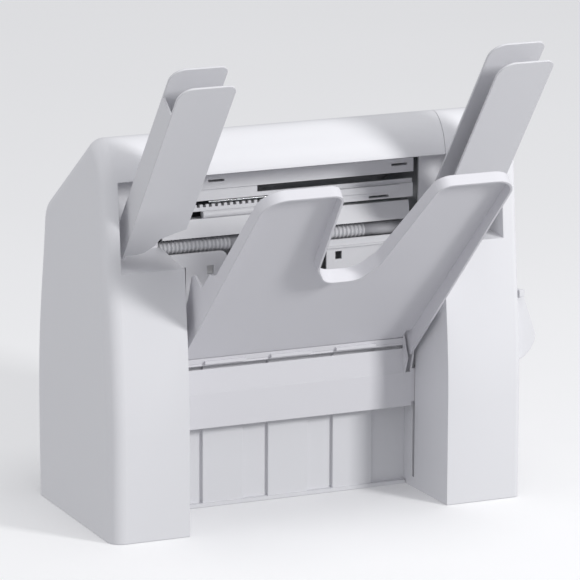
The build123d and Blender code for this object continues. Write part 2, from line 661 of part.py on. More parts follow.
with BuildPart() as ink_cartridge:
    block(-131, -69, 11, 33, 264.5, 305)
    block(-106, -94, 18, 26, 305, 309)
ink_cartridge.part.label = "ink_cartridge"
export_step(ink_cartridge.part, "parts/ink_cartridge.step")

with BuildPart() as control_board:
    block(-110, 50, 6, 60, 17, 18.6)
    for x, y, w, d, h in ((-80, 30, 26, 26, 3), (-30, 40, 18, 12, 4), (10, 25, 30, 16, 6), (38, 48, 16, 10, 9),
                          (-100, 14, 10, 14, 8)):
        block(x - w / 2, x + w / 2, y - d / 2, y + d / 2, 18.6, 18.6 + h)
    for x in (-106, 46):
        for y in (10, 56):
            rod_z(x, y, 2.5, 2, 17)
control_board.part.label = "control_board"
export_step(control_board.part, "parts/control_board.step")

with BuildPart() as power_supply:
    block(62, 122, 0, 58, 2, 52)
    for i in range(6):
        block(70 + i * 8, 74 + i * 8, 10, 48, 48, 53, Mode.SUBTRACT)
power_supply.part.label = "power_supply"
export_step(power_supply.part, "parts/power_supply.step")

with BuildPart() as power_inlet:
    block(139, 169, 78, 94.6, 31, 53)
    block(136.5, 171.5, 76.5, 78, 29, 55)
    block(143, 165, 82, 96, 35, 49, Mode.SUBTRACT)
    for x, z in ((148, 40), (160, 40), (154, 44.5)):
        block(x - 1, x + 1, 82, 92, z - 2, z + 2)
power_inlet.part.label = "power_inlet"
export_step(power_inlet.part, "parts/power_inlet.step")

# ---------------------------------------------------------------- power switch
SWITCH_Y, SWITCH_Z = 88.0, 41.5
with BuildPart() as switch_frame:
    block(98, 123, 78, 94.6, 32, 51)
    block(95.5, 125.5, 76.5, 78, 30, 53)
    rod_x(SWITCH_Y, SWITCH_Z, 8.4, 100, 121, Mode.SUBTRACT)
    block(100, 121, 88, 100, SWITCH_Z - 8.4, SWITCH_Z + 8.4, Mode.SUBTRACT)
    rod_x(SWITCH_Y, SWITCH_Z, 1.56, 98.5, 122.5, Mode.SUBTRACT)
switch_frame.part.label = "switch_frame"
export_step(switch_frame.part, "parts/switch_frame.step")

with BuildPart() as switch_rocker:
    rod_x(SWITCH_Y, SWITCH_Z, 8, 100.4, 120.6)
    prism_x([(94, SWITCH_Z), (98, SWITCH_Z - 10), (98, SWITCH_Z + 10)], 100, 121, Mode.SUBTRACT)
    rod_x(SWITCH_Y, SWITCH_Z, 1.5, 98.6, 122.4)
switch_rocker.part.label = "switch_rocker"
export_step(switch_rocker.part, "parts/switch_rocker.step")

# ---------------------------------------------------------------- controls on the slope
KEYS = {"menu_key": (48, 36, 16, 12), "back_key": (74, 36, 16, 12), "up_key": (48, 58, 16, 12),
        "down_key": (74, 58, 16, 12), "stop_key": (103, 34, 22, 12), "start_key": (103, 60, 24, 20)}
with BuildPart() as control_panel:
    plate_on(slope_plane, -45.6, 123.6, 18.4, 95.6, -3, 0, radius=3.6)
    plate_on(slope_plane, -49, 127, 15, 99, -4.5, -3, radius=3)
    plate_on(slope_plane, -32, 28, 28, 68, -6, 2, Mode.SUBTRACT, radius=2)
    for x, v, w, h in KEYS.values():
        plate_on(slope_plane, x - w / 2 - 0.4, x + w / 2 + 0.4, v - h / 2 - 0.4, v + h / 2 + 0.4, -6, 2,
                 Mode.SUBTRACT, radius=2.4)
control_panel.part.label = "control_panel"
export_step(control_panel.part, "parts/control_panel.step")

with BuildPart() as display:
    plate_on(slope_plane, -36, 32, 24, 72, -7, -4.5, radius=1)
display.part.label = "display"
export_step(display.part, "parts/display.step")

for name, (x, v, w, h) in KEYS.items():
    with BuildPart() as key:
        plate_on(slope_plane, x - w / 2, x + w / 2, v - h / 2, v + h / 2, -5.5, 1.6, radius=2)
        plate_on(slope_plane, x - w / 2 - 1.4, x + w / 2 + 1.4, v - h / 2 - 1.4, v + h / 2 + 1.4, -6.4, -4.9,
                 radius=2)
    key.part.label = name
    export_step(key.part, f"parts/{name}.step")

with BuildPart() as key_board:
    plate_on(slope_plane, 34, 120, 20, 76, -9.8, -8.2)
    for x in (36.5, 117.8):
        for v in (22.5, 73.5):
            plate_on(slope_plane, x - 1.5, x + 1.5, v - 1.5, v + 1.5, -8.2, -4.5)
key_board.part.label = "key_board"
export_step(key_board.part, "parts/key_board.step")

# ---------------------------------------------------------------- cartridge door
DOOR_V, DOOR_W = 22.5, -5.0


def slope_rod(x0, x1, v, w, radius, mode=Mode.ADD):
    """Round bar along X at v down the slope and w off it."""
    at = slope_plane.from_local_coords((0, v, w))
    rod_x(at.Y, at.Z, radius, x0, x1, mode)


with BuildPart() as cartridge_door:
    plate_on(slope_plane, -151.5, -56.5, 20, 97.5, -3, 0, radius=2.6)
    for x in (-144, -68):
        plate_on(slope_plane, x - 4, x + 4, 20, 27, -5, -2.5)
        slope_rod(x - 4, x + 4, DOOR_V, DOOR_W, 2.5)
    slope_rod(-160, -40, DOOR_V, DOOR_W, 1.56, Mode.SUBTRACT)
    plate_on(slope_plane, -114, -94, 89, 95, -1.2, 1, Mode.SUBTRACT, radius=2)
cartridge_door.part.label = "cartridge_door"
export_step(cartridge_door.part, "parts/cartridge_door.step")

with BuildPart() as door_rod:
    slope_rod(-158, -50, DOOR_V, DOOR_W, 1.5)
    for x in (-157.5, -53.8):
        plate_on(slope_plane, x, x + 3, 18.5, 26.5, -8, -3)
door_rod.part.label = "door_rod"
export_step(door_rod.part, "parts/door_rod.step")

# ---------------------------------------------------------------- release paddle on the right side
PADDLE_X, PADDLE_Z = 207.7, 194.0
with BuildPart() as release_paddle:
    with BuildSketch(Plane.XZ.offset(48)) as sk:
        with BuildLine():
            Polyline((205.4, 194), (209.4, 195.5), (224.2, 152), (223.4, 146), (219, 138), (212, 131.5),
                     (205.4, 128.5), close=True)
        make_face()
        fillet([v for v in vertices() if v.X > 220], 4)
        with Locations((PADDLE_X, PADDLE_Z)):
            Circle(2.3)
    extrude(sk.sketch, amount=38)
    with BuildSketch(Plane.XZ.offset(40)) as bore:
        with Locations((PADDLE_X, PADDLE_Z)):
            Circle(1.06)
    extrude(bore.sketch, amount=60, mode=Mode.SUBTRACT)
release_paddle.part.label = "release_paddle"
export_step(release_paddle.part, "parts/release_paddle.step")

with BuildPart() as paddle_hinge:
    with BuildSketch(Plane.XZ.offset(44)) as pin:
        with Locations((PADDLE_X, PADDLE_Z)):
            Circle(1)
    extrude(pin.sketch, amount=46)
    for y in (-90.2, -47.6):
        block(205, 210, y, y + 3.6, 190.5, 196.8)
paddle_hinge.part.label = "paddle_hinge"
export_step(paddle_hinge.part, "parts/paddle_hinge.step")
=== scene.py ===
"""Looks of a desktop franking machine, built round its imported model.

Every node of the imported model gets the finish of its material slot, the ribbed
delivery rollers are made again as moulded sleeves, and raised marks on the
keys, lit tiles on the screen and moulded ribs on the rear cover are added.
Lengths are in metres in the model's own frame: X to the right seen from the
delivery side, -Y towards that side, Z up.
"""

import json
import logging
import math
from dataclasses import dataclass
from enum import Enum
from typing import Optional, Sequence, Union

import bpy
import numpy as np
from mathutils import Matrix, Vector


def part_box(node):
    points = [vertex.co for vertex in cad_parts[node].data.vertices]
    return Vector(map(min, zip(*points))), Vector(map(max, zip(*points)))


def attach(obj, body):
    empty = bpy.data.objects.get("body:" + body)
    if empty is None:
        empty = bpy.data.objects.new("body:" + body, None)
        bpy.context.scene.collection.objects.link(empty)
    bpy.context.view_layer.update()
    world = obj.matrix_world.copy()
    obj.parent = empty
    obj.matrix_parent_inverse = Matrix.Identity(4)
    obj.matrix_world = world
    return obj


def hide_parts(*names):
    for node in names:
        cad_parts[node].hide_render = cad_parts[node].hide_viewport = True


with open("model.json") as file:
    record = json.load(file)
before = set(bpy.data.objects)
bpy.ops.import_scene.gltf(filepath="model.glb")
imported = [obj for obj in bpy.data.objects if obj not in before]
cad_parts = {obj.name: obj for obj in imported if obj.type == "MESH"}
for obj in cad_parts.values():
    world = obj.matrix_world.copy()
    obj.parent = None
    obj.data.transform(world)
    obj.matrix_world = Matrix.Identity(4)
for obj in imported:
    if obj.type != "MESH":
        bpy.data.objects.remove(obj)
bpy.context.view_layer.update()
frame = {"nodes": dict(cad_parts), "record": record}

LOG = logging.getLogger("franking_machine")

Number = Union[int, float]
Colour = tuple[float, float, float]
Place = tuple[float, float, float]
Oblong = tuple[float, float, float, float]

CONSOLE_RISE, CONSOLE_RUN = 65.0, 92.0  # the control panel's slope, as a ratio
PAD_TAPER = 3  # a pad's top is drawn in by its height over this


# ------------------------------------------------------------------ shader expressions
class Value:
    """A shader socket that takes part in Python expressions."""

    def __init__(self, recipe: "Recipe", socket: bpy.types.NodeSocket) -> None:
        """Keep the socket and the recipe it belongs to.

        Args:
            recipe: The recipe whose tree holds the socket.
            socket: The output socket that gives the value.
        """
        self.recipe = recipe
        self.socket = socket

    def _maths(self, operation: str, first: "Term", second: "Term") -> "Value":
        """Add one Math node.

        Args:
            operation: The Math node's operation.
            first: Its first value.
            second: Its second value.

        Returns:
            The node's result.
        """
        inputs = {0: first, 1: second}
        return self.recipe.node("ShaderNodeMath", {"operation": operation}, inputs)

    def __add__(self, other: "Term") -> "Value":
        """The sum."""
        return self._maths("ADD", self, other)

    def __radd__(self, other: "Term") -> "Value":
        """The sum, from the right."""
        return self._maths("ADD", other, self)

    def __sub__(self, other: "Term") -> "Value":
        """The difference."""
        return self._maths("SUBTRACT", self, other)

    def __rsub__(self, other: "Term") -> "Value":
        """The difference, from the right."""
        return self._maths("SUBTRACT", other, self)

    def __mul__(self, other: "Term") -> "Value":
        """The product."""
        return self._maths("MULTIPLY", self, other)

    def __rmul__(self, other: "Term") -> "Value":
        """The product, from the right."""
        return self._maths("MULTIPLY", other, self)


Term = Union[Value, Number]


class Recipe:
    """A material being written: a Principled shader and what feeds it."""

    BEVEL_SAMPLES = 6
    MIX_SHARE, MIX_LOW, MIX_HIGH, MIX_COLOUR = 0, 6, 7, 2  # the Mix node's colour sockets

    def __init__(self, name: str) -> None:
        """Start an empty material.

        Args:
            name: The material's name.
        """
        self.material = bpy.data.materials.new(name)
        self.material.use_nodes = True
        self.tree = self.material.node_tree
        self.tree.nodes.clear()
        self.shader = self.tree.nodes.new("ShaderNodeBsdfPrincipled")
        output = self.tree.nodes.new("ShaderNodeOutputMaterial")
        self.tree.links.new(self.shader.outputs[0], output.inputs["Surface"])

    def node(
        self,
        kind: str,
        settings: Optional[dict] = None,
        inputs: Optional[dict] = None,
        output: Union[int, str] = 0,
    ) -> Value:
        """Add a node.

        Args:
            kind: The node's type.
            settings: Its properties; "stops" gives a colour ramp's stops.
            inputs: Its sockets' values or links, by name or number.
            output: The output socket that is wanted.

        Returns:
            That output, ready for expressions.
        """
        made = self.tree.nodes.new(kind)
        for key, setting in (settings or {}).items():
            if key == "stops":
                self._fill_ramp(made.color_ramp, setting)
            else:
                setattr(made, key, setting)
        for key, term in (inputs or {}).items():
            self._feed(made.inputs[key], term)
        return Value(self, made.outputs[output])

    @staticmethod
    def _fill_ramp(ramp: bpy.types.ColorRamp, stops: Sequence[tuple[float, float]]) -> None:
        """Set a grey ramp's stops from (position, level) pairs.

        Args:
            ramp: The ramp to fill.
            stops: At least two pairs, in order.
        """
        while len(ramp.elements) < len(stops):
            ramp.elements.new(1.0)
        for element, (position, level) in zip(ramp.elements, stops):
            element.position = position
            element.color = (level, level, level, 1.0)

    def _feed(self, socket: bpy.types.NodeSocket, term: object) -> None:
        """Link or set one input.

        Args:
            socket: The input.
            term: A Value to link, or a number or tuple to set.
        """
        if isinstance(term, Value):
            self.tree.links.new(term.socket, socket)
        else:
            socket.default_value = term

    def place(self) -> Value:
        """The point on the surface, in the object's own metres."""
        return self.node("ShaderNodeTexCoord", output="Object")

    def noise(
        self, scale: float, detail: float = 2.0, stretch: Sequence[float] = (1, 1, 1)
    ) -> Value:
        """Smooth noise from 0 to 1.

        Args:
            scale: Features per metre.
            detail: Octaves.
            stretch: How much denser the noise is along each axis.

        Returns:
            The noise.
        """
        layout = {"Vector": self.place(), "Scale": tuple(stretch)}
        spot = self.node("ShaderNodeMapping", {}, layout)
        inputs = {"Vector": spot, "Scale": scale, "Detail": detail}
        return self.node("ShaderNodeTexNoise", {}, inputs, "Fac")

    def between(self, low: Colour, high: Colour, share: Value) -> Value:
        """A colour between two.

        Args:
            low: The colour where share is 0.
            high: The colour where share is 1.
            share: The mixing value.

        Returns:
            The mixed colour.
        """
        settings = {"data_type": "RGBA"}
        inputs = {
            self.MIX_SHARE: share,
            self.MIX_LOW: (*low, 1.0),
            self.MIX_HIGH: (*high, 1.0),
        }
        return self.node("ShaderNodeMix", settings, inputs, self.MIX_COLOUR)

    def relief(
        self, height: Value, depth: float, strength: float = 1.0, edge: float = 0.0
    ) -> Value:
        """A bumped normal.

        Args:
            height: The pattern, 0 to 1.
            depth: How deep 1 stands, in metres.
            strength: The share of it that shows.
            edge: The radius that sharp edges are softened by, in metres.

        Returns:
            The normal.
        """
        inputs = {"Height": height, "Distance": depth, "Strength": strength}
        if edge:
            samples = {"samples": self.BEVEL_SAMPLES}
            inputs["Normal"] = self.node("ShaderNodeBevel", samples, {"Radius": edge})
        return self.node("ShaderNodeBump", {}, inputs)

    def finish(self, fixed: dict, varied: dict) -> bpy.types.Material:
        """Set the shader's sockets.

        Args:
            fixed: Numbers and colours that are the same all over.
            varied: Values that change over the surface.

        Returns:
            The finished material.
        """
        for name, term in {**fixed, **varied}.items():
            self._feed(self.shader.inputs[name], term)
        return self.material


def tinted(colour: Colour, share: float) -> Colour:
    """A colour made lighter or darker by a share of itself."""
    return tuple(min(1.0, max(0.0, c * (1 + share))) for c in colour)


# ------------------------------------------------------------------ finishes
@dataclass(frozen=True)
class MouldedPlastic:
    """Spark-textured plastic: fine even grain, faint clouding, softened edges."""

    colour: Colour
    roughness: float = 0.5
    grain_per_metre: float = 1500.0
    grain_depth: float = 0.00006
    clouding: float = 0.018
    edge: float = 0.0007
    clouds_per_metre: float = 9.0
    detail: float = 3.0
    cloud_share: float = 0.75
    polish: float = 0.06
    grain_gloss: float = 0.08
    cloud_gloss: float = 0.05
    relief_share: float = 0.55
    specular: float = 0.42

    def make(self, name: str) -> bpy.types.Material:
        """The material: clouding moves the colour, and two grains move roughness and relief."""
        recipe = Recipe(name)
        cloud = recipe.noise(self.clouds_per_metre, self.detail)
        grain = recipe.noise(self.grain_per_metre, self.detail)
        colour = recipe.between(
            tinted(self.colour, -self.clouding),
            tinted(self.colour, self.clouding),
            cloud * self.cloud_share + grain * (1 - self.cloud_share),
        )
        smoothest = self.roughness - self.polish
        varied = {
            "Base Color": colour,
            "Roughness": smoothest + grain * self.grain_gloss + cloud * self.cloud_gloss,
            "Normal": recipe.relief(grain, self.grain_depth, self.relief_share, self.edge),
        }
        return recipe.finish({"Specular IOR Level": self.specular}, varied)


@dataclass(frozen=True)
class DrawnSteel:
    """Sheet or bar with fine lines along one axis."""

    colour: Colour
    roughness: float = 0.34
    stretch: Place = (1.0, 26.0, 26.0)
    lines_per_metre: float = 90.0
    line_detail: float = 4.0
    line_depth: float = 0.00003
    line_gloss: float = 0.12
    darkest: float = -0.12
    lightest: float = 0.06
    stains_per_metre: float = 18.0
    stain_detail: float = 3.0
    stain_gloss: float = 0.08
    polish: float = 0.08
    relief_share: float = 0.4
    edge: float = 0.0003

    def make(self, name: str) -> bpy.types.Material:
        """The material: noise drawn out along the lines moves colour, roughness and relief."""
        recipe = Recipe(name)
        lines = recipe.noise(self.lines_per_metre, self.line_detail, self.stretch)
        stain = recipe.noise(self.stains_per_metre, self.stain_detail)
        dark, light = tinted(self.colour, self.darkest), tinted(self.colour, self.lightest)
        smoothest = self.roughness - self.polish
        varied = {
            "Base Color": recipe.between(dark, light, lines),
            "Roughness": smoothest + lines * self.line_gloss + stain * self.stain_gloss,
            "Normal": recipe.relief(lines, self.line_depth, self.relief_share, self.edge),
        }
        return recipe.finish({"Metallic": 1.0}, varied)


@dataclass(frozen=True)
class SoftRubber:
    """Matt rubber with a ground surface and dusty high spots."""

    colour: Colour = (0.045, 0.045, 0.05)
    roughness: float = 0.72
    dust_per_metre: float = 260.0
    dust_detail: float = 4.0
    dust_tint: float = 0.9
    dust_share: float = 0.6
    grinding_per_metre: float = 1200.0
    grinding_detail: float = 2.0
    grinding_stretch: Place = (1.0, 0.2, 0.2)
    grinding_depth: float = 0.00008
    grinding_gloss: float = 0.18
    relief_share: float = 0.6
    edge: float = 0.0004

    def make(self, name: str) -> bpy.types.Material:
        """The material: dust lightens the colour and grinding lines roughen it."""
        recipe = Recipe(name)
        dust = recipe.noise(self.dust_per_metre, self.dust_detail)
        ground = recipe.noise(
            self.grinding_per_metre, self.grinding_detail, self.grinding_stretch
        )
        dusty = tinted(self.colour, self.dust_tint)
        varied = {
            "Base Color": recipe.between(self.colour, dusty, dust * self.dust_share),
            "Roughness": self.roughness + ground * self.grinding_gloss,
            "Normal": recipe.relief(
                ground, self.grinding_depth, self.relief_share, self.edge
            ),
        }
        return recipe.finish({}, varied)


@dataclass(frozen=True)
class CircuitBoard:
    """Lacquered board with copper tracks under the lacquer."""

    colour: Colour = (0.02, 0.14, 0.07)
    track: Colour = (0.05, 0.26, 0.12)
    cells_per_metre: float = 170.0
    track_stops: tuple[tuple[float, float], ...] = ((0.0, 0.0), (0.5, 0.0), (0.56, 1.0))
    track_depth: float = 0.00005
    relief_share: float = 0.5
    roughness: float = 0.32
    smears_per_metre: float = 300.0
    smear_gloss: float = 0.12
    coat: float = 0.3

    def make(self, name: str) -> bpy.types.Material:
        """The material: square cells, some of them lighter, read as tracks and pads."""
        recipe = Recipe(name)
        inputs = {"Vector": recipe.place(), "Scale": self.cells_per_metre}
        cells = recipe.node(
            "ShaderNodeTexVoronoi", {"distance": "CHEBYCHEV"}, inputs, "Distance"
        )
        tracks = recipe.node(
            "ShaderNodeValToRGB", {"stops": self.track_stops}, {"Fac": cells}
        )
        smears = recipe.noise(self.smears_per_metre)
        varied = {
            "Base Color": recipe.between(self.colour, self.track, tracks),
            "Roughness": self.roughness + smears * self.smear_gloss,
            "Normal": recipe.relief(tracks, self.track_depth, self.relief_share),
        }
        return recipe.finish({"Coat Weight": self.coat}, varied)


@dataclass(frozen=True)
class ScreenWindow:
    """Dark hard-coated window over a screen."""

    colour: Colour = (0.018, 0.024, 0.032)
    roughness: float = 0.06
    wipes_per_metre: float = 40.0
    wipe_detail: float = 4.0
    wipe_stretch: Place = (1.0, 6.0, 1.0)
    wipe_tint: float = 0.5
    wipe_gloss: float = 0.09
    coat: float = 0.6
    coat_roughness: float = 0.05

    def make(self, name: str) -> bpy.types.Material:
        """The material: near-black and glossy, with faint wiping marks in the gloss."""
        recipe = Recipe(name)
        wiped = recipe.noise(self.wipes_per_metre, self.wipe_detail, self.wipe_stretch)
        varied = {
            "Base Color": recipe.between(
                self.colour, tinted(self.colour, self.wipe_tint), wiped
            ),
            "Roughness": self.roughness + wiped * self.wipe_gloss,
        }
        coat = {"Coat Weight": self.coat, "Coat Roughness": self.coat_roughness}
        return recipe.finish(coat, varied)


@dataclass(frozen=True)
class LitTile:
    """A pale backlit tile of the screen."""

    colour: Colour = (0.30, 0.55, 0.62)
    roughness: float = 0.3
    patches_per_metre: float = 60.0
    patch_detail: float = 2.0
    patch_tint: float = 0.15
    strength: float = 0.5

    def make(self, name: str) -> bpy.types.Material:
        """The material: the light is a little uneven, as behind a diffuser."""
        recipe = Recipe(name)
        uneven = recipe.noise(self.patches_per_metre, self.patch_detail)
        dim = tinted(self.colour, -self.patch_tint)
        bright = tinted(self.colour, self.patch_tint)
        glow = recipe.between(dim, bright, uneven)
        fixed = {"Emission Strength": self.strength, "Roughness": self.roughness}
        return recipe.finish(fixed, {"Base Color": glow, "Emission Color": glow})


Finish = Union[MouldedPlastic, DrawnSteel, SoftRubber, CircuitBoard, ScreenWindow, LitTile]


class Surface(Enum):
    """The finishes of this machine; the inner, tray and carriage plastics are the casing's
    plastic darkened as painted shade.
    """

    CASING = MouldedPlastic((0.80, 0.80, 0.825), 0.48)
    # Inner walls: the casing's plastic, darker as painted shade inside the recesses.
    INNER = MouldedPlastic((0.77, 0.77, 0.795), 0.52)
    # Tray and carriage: the casing's plastic, darker as painted shade on their shadowed,
    # downward-leaning faces.
    TRAY = MouldedPlastic((0.74, 0.735, 0.77), 0.45, clouding=0.022)
    CARRIAGE = MouldedPlastic((0.75, 0.745, 0.775), 0.48)
    WING = MouldedPlastic((0.76, 0.76, 0.785), 0.46)
    GUIDE = MouldedPlastic((0.77, 0.77, 0.79), 0.5, edge=0.0004)
    SLEEVE = MouldedPlastic((0.70, 0.70, 0.725), 0.4, edge=0.0002)
    DARK = MouldedPlastic((0.035, 0.035, 0.04), 0.55)
    KEY = MouldedPlastic((0.36, 0.37, 0.41), 0.5, edge=0.0008)
    START = MouldedPlastic((0.06, 0.30, 0.12), 0.48, edge=0.0008)
    STOP = MouldedPlastic((0.45, 0.06, 0.05), 0.48, edge=0.0008)
    MARK = MouldedPlastic((0.86, 0.86, 0.88), 0.42, edge=0.0)
    STEEL = DrawnSteel((0.56, 0.57, 0.59))
    SHAFT = DrawnSteel((0.66, 0.67, 0.69), 0.22, lines_per_metre=160.0)
    BRASS = DrawnSteel((0.72, 0.52, 0.24), 0.36)
    RUBBER = SoftRubber()
    BOARD = CircuitBoard()
    GLASS = ScreenWindow()
    LIT = LitTile()


SLOT_SURFACE = {
    "casing": Surface.CASING,
    "casing_inner": Surface.INNER,
    "tray": Surface.TRAY,
    "carriage": Surface.CARRIAGE,
    "wing": Surface.WING,
    "guide": Surface.GUIDE,
    "roller": Surface.SLEEVE,
    "dark": Surface.DARK,
    "steel": Surface.STEEL,
    "shaft": Surface.SHAFT,
    "rubber": Surface.RUBBER,
    "board": Surface.BOARD,
    "glass": Surface.GLASS,
    "key": Surface.KEY,
    "start": Surface.START,
    "stop": Surface.STOP,
    "brass": Surface.BRASS,
}


class Paintbox:
    """Makes each finish once and hands it out."""

    def __init__(self) -> None:
        """Start with nothing made."""
        self.made: dict[Surface, bpy.types.Material] = {}

    def get(self, surface: Surface) -> bpy.types.Material:
        """The material of a surface, made on its first use."""
        if surface not in self.made:
            self.made[surface] = surface.value.make(surface.name.lower())
        return self.made[surface]


# ------------------------------------------------------------------ meshes
def sheet_object(
    name: str, points: np.ndarray, wrap_u: bool, wrap_v: bool
) -> bpy.types.Object:
    """A mesh from a grid of points, with one quad for each cell.

    Args:
        name: The object's name.
        points: The grid, shaped (rows, columns, 3).
        wrap_u: Whether the last row joins the first.
        wrap_v: Whether the last column joins the first.

    Returns:
        The object, linked into the scene.
    """
    rows, columns = points.shape[:2]
    i = np.arange(rows if wrap_u else rows - 1)[:, None]
    j = np.arange(columns if wrap_v else columns - 1)[None, :]
    below, beside = (i + 1) % rows, (j + 1) % columns
    corners = [
        i * columns + j,
        below * columns + j,
        below * columns + beside,
        i * columns + beside,
    ]
    quads = np.stack(corners, axis=-1).reshape(-1, 4)
    return mesh_object(name, points.reshape(-1, 3), quads)


def mesh_object(name: str, points: np.ndarray, faces: np.ndarray) -> bpy.types.Object:
    """A mesh object at the origin.

    Args:
        name: The object's name.
        points: Its vertices.
        faces: Its faces, all with the same number of corners.

    Returns:
        The object, linked into the scene.
    """
    mesh = bpy.data.meshes.new(name)
    mesh.from_pydata(points.tolist(), [], faces.tolist())
    mesh.validate()
    mesh.update()
    made = bpy.data.objects.new(name, mesh)
    bpy.context.scene.collection.objects.link(made)
    return made


@dataclass(frozen=True)
class Seat:
    """A flat place that small pieces are set on: an origin and three directions."""

    origin: np.ndarray
    across: np.ndarray
    along: np.ndarray
    out: np.ndarray

    def points(self, flat: np.ndarray, height: float) -> np.ndarray:
        """Points at (across, along) pairs, a height off the seat."""
        level = self.origin + flat[:, :1] * self.across + flat[:, 1:2] * self.along
        return level + height * self.out


def pads(
    name: str, places: Sequence[tuple[Seat, np.ndarray]], height: float
) -> bpy.types.Object:
    """Low raised pads with convex outlines.

    Each pad is a foot ring, a top ring drawn in by a third of the height, and
    a middle point at each end, so it is closed all round.

    Args:
        name: The object's name.
        places: Each pad's seat and its corners, counter-clockwise, as (across, along).
        height: How far they stand out; the foot is sunk by the same amount.

    Returns:
        The object.
    """
    points, faces, start = [], [], 0
    for seat, outline in places:
        count = len(outline)
        middle = outline.mean(axis=0, keepdims=True)
        reach = np.linalg.norm(outline - middle, axis=1, keepdims=True)
        top = middle + (outline - middle) * (1 - height / PAD_TAPER / reach)
        points += [
            seat.points(outline, -height),
            seat.points(top, height),
            seat.points(middle, -height),
            seat.points(middle, height),
        ]
        k = np.arange(count)
        n = (k + 1) % count
        low, high = start + 2 * count, start + 2 * count + 1
        faces += [
            np.stack([start + k, start + n, start + count + n], axis=1),
            np.stack([start + k, start + count + n, start + count + k], axis=1),
            np.stack([start + n, start + k, np.full(count, low)], axis=1),
            np.stack([start + count + k, start + count + n, np.full(count, high)], axis=1),
        ]
        start += 2 * count + 2
    return mesh_object(name, np.concatenate(points), np.concatenate(faces))


def oblong(x: float, y: float, width: float, height: float) -> np.ndarray:
    """The four corners of an oblong about (x, y), counter-clockwise."""
    w, h = width / 2, height / 2
    return np.array([(x - w, y - h), (x + w, y - h), (x + w, y + h), (x - w, y + h)])


def regular(x: float, y: float, radius: float, sides: int, turn: float = 0.0) -> np.ndarray:
    """A regular polygon about (x, y): corner k stands at turn + 360 k / sides degrees."""
    angle = math.radians(turn) + 2 * math.pi * np.arange(sides) / sides
    return np.stack([x + radius * np.cos(angle), y + radius * np.sin(angle)], axis=1)


def node_points(node: str) -> np.ndarray:
    """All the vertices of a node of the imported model."""
    mesh = frame["nodes"][node].data
    flat = np.empty(len(mesh.vertices) * 3)
    mesh.vertices.foreach_get("co", flat)
    return flat.reshape(-1, 3)


# ------------------------------------------------------------------ sub-assemblies
@dataclass
class SubAssembly:
    """A group of pieces that are made and dressed together."""

    paints: Paintbox

    def keep(self, piece: bpy.types.Object, surface: Surface, slot: str, body: str) -> None:
        """Dress a new piece and set it on its body.

        Args:
            piece: The new piece.
            surface: Its finish.
            slot: The record's slot that the finish stands for; not used.
            body: The body that it moves with.
        """
        piece.data.materials.append(self.paints.get(surface))
        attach(piece, body)
        LOG.info("%s: %d faces, rides on %s", piece.name, len(piece.data.polygons), body)


class PackedNodes(SubAssembly):
    """The machine's own nodes, each in the finish of its slot."""

    def build(self) -> None:
        """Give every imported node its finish."""
        slots = {part["node"]: part["material_slot"] for part in frame["record"]["subparts"]}
        for name, piece in frame["nodes"].items():
            paint = self.paints.get(SLOT_SURFACE[slots[name]])
            if not piece.material_slots:
                piece.data.materials.append(paint)
            for place in piece.material_slots:
                place.material = paint
            LOG.info("%s: dressed as %s", name, paint.name)


@dataclass
class DeliveryRollers(SubAssembly):
    """Ribbed and plain sleeves on the delivery shaft."""

    ribbed_spans: tuple[tuple[float, float], ...] = ((-0.124, -0.052), (-0.012, 0.084))
    plain_spans: tuple[tuple[float, float], ...] = ((-0.0518, -0.0122), (0.0842, 0.124))
    pitch: float = 0.004
    root: float = 0.0058
    crest: float = 0.0069
    plain: float = 0.0062
    bore: float = 0.0041
    steps_per_rib: int = 10
    sides: int = 40

    def build(self) -> None:
        """Make one closed sleeve for each span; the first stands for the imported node."""
        axis_y, axis_z = self._axis()
        both = np.full(2, self.plain)
        sleeves = [
            self._sleeve(f"ribbed_sleeve_{label}", x0, x1, axis_y, axis_z)
            for label, (x0, x1) in zip(("left", "right"), self.ribbed_spans)
        ]
        sleeves += [
            self._turned(f"plain_sleeve_{label}", np.array(ends), both, axis_y, axis_z)
            for label, ends in zip(("middle", "right"), self.plain_spans)
        ]
        for sleeve in sleeves:
            self.keep(sleeve, Surface.SLEEVE, "roller", "delivery_roller")
        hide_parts("ribbed_rollers")

    def _axis(self) -> tuple[float, float]:
        """The shaft's (y, z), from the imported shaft's box."""
        low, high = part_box("delivery_shaft")
        return (low.y + high.y) / 2, (low.z + high.z) / 2

    def _sleeve(self, name: str, x0: float, x1: float, y: float, z: float) -> bpy.types.Object:
        """One ribbed sleeve.

        Its outside is root + (crest - root) * sin(pi x / pitch)^2 along X.

        Args:
            name: The sleeve's name.
            x0: Its left end.
            x1: Its right end.
            y: The shaft's y.
            z: The shaft's z.

        Returns:
            The sleeve.
        """
        ribs = round((x1 - x0) / self.pitch)
        along = np.linspace(x0, x1, ribs * self.steps_per_rib + 1)
        wave = np.sin(math.pi * (along - x0) / self.pitch) ** 2
        outer = self.root + (self.crest - self.root) * wave
        return self._turned(name, along, outer, y, z)

    def _turned(
        self, name: str, along: np.ndarray, outer: np.ndarray, y: float, z: float
    ) -> bpy.types.Object:
        """A closed tube: outer radii with the bore behind them, turned about the shaft.

        Args:
            name: The tube's name.
            along: The outline's places along X.
            outer: Its radius at each place.
            y: The shaft's y.
            z: The shaft's z.

        Returns:
            The tube, smooth-shaded.
        """
        x = np.concatenate([along, [along[-1], along[0]]])
        radius = np.concatenate([outer, [self.bore, self.bore]])
        angle = 2 * math.pi * np.arange(self.sides) / self.sides
        points = np.stack(
            [
                np.broadcast_to(x[:, None], (len(x), self.sides)),
                y + radius[:, None] * np.cos(angle),
                z + radius[:, None] * np.sin(angle),
            ],
            axis=-1,
        )
        tube = sheet_object(name, points, wrap_u=True, wrap_v=True)
        smooth = np.ones(len(tube.data.polygons), bool)
        tube.data.polygons.foreach_set("use_smooth", smooth)
        return tube


